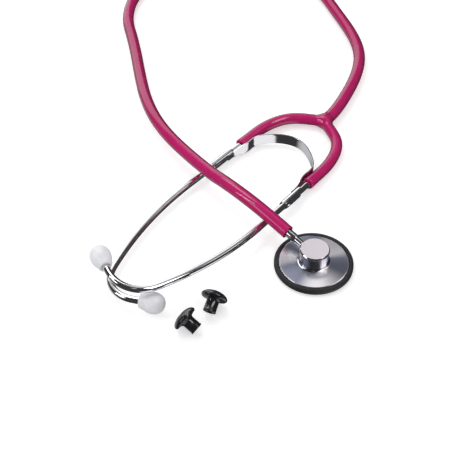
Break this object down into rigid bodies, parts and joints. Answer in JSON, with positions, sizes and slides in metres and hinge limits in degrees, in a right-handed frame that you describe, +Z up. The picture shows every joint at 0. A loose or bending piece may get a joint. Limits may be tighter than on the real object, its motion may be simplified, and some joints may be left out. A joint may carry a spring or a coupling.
{
  "type": "stethoscope",
  "caption": "Acoustic stethoscope with Y tubing, sprung bent ear tubes, soft ear tips and a flat round chestpiece, laid out flat with spare ear tips.",
  "frame": {"origin": "middle of the diaphragm's outer face, in the plane that the rim rests on", "axes": "+Z up out of the chestpiece; +Y away from the chestpiece towards the loop of the tubing; +X to the right of the headset as laid"},
  "size_m": [0.1836, 0.3985, 0.0272],
  "materials": {
    "tubing": "glossy moulded PVC",
    "chrome": "polished chrome plate",
    "spring_steel": "polished spring steel",
    "tip_white": "soft translucent white",
    "tip_black": "glossy soft black",
    "plate": "turned, anodised clear",
    "cap": "satin with a bright chamfer",
    "diaphragm": "glass-fibre epoxy sheet",
    "rim": "satin black"
  },
  "bodies": {
    "headset_core": {"y_tubing": "tubing", "leaf_spring": "spring_steel"},
    "left_arm": {"left_ear_tube": "chrome"},
    "right_arm": {"right_ear_tube": "chrome"},
    "left_tip": {"left_ear_tip": "tip_white"},
    "right_tip": {"right_ear_tip": "tip_white"},
    "chestpiece": {"chestpiece_body": "plate", "boss_cap": "cap", "chest_stem": "chrome", "diaphragm": "diaphragm", "non_chill_rim": "rim"},
    "spare_tip_1": {"spare_ear_tip_1": "tip_black"},
    "spare_tip_2": {"spare_ear_tip_2": "tip_black"},
    "tube_1": {"tube_link_1": "tubing"},
    "tube_2": {"tube_link_2": "tubing"},
    "tube_3": {"tube_link_3": "tubing"},
    "tube_4": {"tube_link_4": "tubing"},
    "tube_5": {"tube_link_5": "tubing"},
    "tube_6": {"tube_link_6": "tubing"},
    "tube_7": {"tube_link_7": "tubing"}
  },
  "joints": [
    {"name": "left_spread", "type": "hinge", "parent": "headset_core", "child": "left_arm", "pos_m": [-0.023, 0.11257, 0.0042], "axis": [0, 0, -1], "range_deg": [0, 30], "stiffness_Nm_per_rad": 0.6, "deforming": ["leaf_spring", "y_tubing"]},
    {"name": "left_tip_pull", "type": "slide", "parent": "left_arm", "child": "left_tip", "axis": [0.9664, -0.2495, 0.0615], "range_m": [0, 0.01]},
    {"name": "right_spread", "type": "hinge", "parent": "headset_core", "child": "right_arm", "pos_m": [0.00555, 0.08749, 0.0042], "axis": [0, 0, 1], "range_deg": [-10, 5], "stiffness_Nm_per_rad": 0.6, "deforming": ["leaf_spring", "y_tubing"]},
    {"name": "right_tip_pull", "type": "slide", "parent": "right_arm", "child": "right_tip", "axis": [-0.4332, 0.8996, 0.0554], "range_m": [0, 0.01]},
    {"name": "tube_sway", "type": "hinge", "parent": "headset_core", "child": "tube_1", "pos_m": [-0.12632, 0.27811, 0.00415], "axis": [0, 0, 1], "range_deg": [-1, 8], "stiffness_Nm_per_rad": 0.05},
    {"name": "tube_lift_1", "type": "hinge", "parent": "tube_1", "child": "tube_2", "pos_m": [-0.12555, 0.23515, 0.00449], "axis": [-0.9742, -0.2258, 0], "range_deg": [0, 8], "stiffness_Nm_per_rad": 0.05},
    {"name": "tube_lift_2", "type": "hinge", "parent": "tube_2", "child": "tube_3", "pos_m": [-0.11822, 0.19852, 0.00554], "axis": [-0.9872, -0.1592, 0], "range_deg": [0, 8], "stiffness_Nm_per_rad": 0.05},
    {"name": "tube_lift_3", "type": "hinge", "parent": "tube_3", "child": "tube_4", "pos_m": [-0.11171, 0.16178, 0.00774], "axis": [-0.9823, -0.1872, 0], "range_deg": [0, 8], "stiffness_Nm_per_rad": 0.05},
    {"name": "tube_lift_4", "type": "hinge", "parent": "tube_4", "child": "tube_5", "pos_m": [-0.10147, 0.12599, 0.01064], "axis": [-0.9248, -0.3806, 0], "range_deg": [0, 8], "stiffness_Nm_per_rad": 0.05},
    {"name": "tube_lift_5", "type": "hinge", "parent": "tube_5", "child": "tube_6", "pos_m": [-0.08316, 0.09355, 0.01219], "axis": [-0.8104, -0.5859, 0], "range_deg": [0, 8], "stiffness_Nm_per_rad": 0.05},
    {"name": "tube_lift_6", "type": "hinge", "parent": "tube_6", "child": "tube_7", "pos_m": [-0.06062, 0.06384, 0.01454], "axis": [-0.7626, -0.6469, 0], "range_deg": [0, 8], "stiffness_Nm_per_rad": 0.05},
    {"name": "chestpiece_swivel", "type": "hinge", "parent": "tube_7", "child": "chestpiece", "pos_m": [-0.01532, 0.01532, 0.01232], "axis": [-0.6964, 0.6964, 0.1736], "range_deg": [-180, 180]},
    {"name": "spare_tip_1_lift", "type": "slide", "parent": "headset_core", "child": "spare_tip_1", "axis": [0, 0, 1], "range_m": [0, 0.06]},
    {"name": "spare_tip_2_lift", "type": "slide", "parent": "headset_core", "child": "spare_tip_2", "axis": [0, 0, 1], "range_m": [0, 0.06]}
  ],
  "couplings": [
    {"joint": "tube_lift_2", "follows": "tube_lift_1", "ratio": 1},
    {"joint": "tube_lift_3", "follows": "tube_lift_1", "ratio": 1},
    {"joint": "tube_lift_4", "follows": "tube_lift_1", "ratio": 1},
    {"joint": "tube_lift_5", "follows": "tube_lift_1", "ratio": 1},
    {"joint": "tube_lift_6", "follows": "tube_lift_1", "ratio": 1}
  ]
}
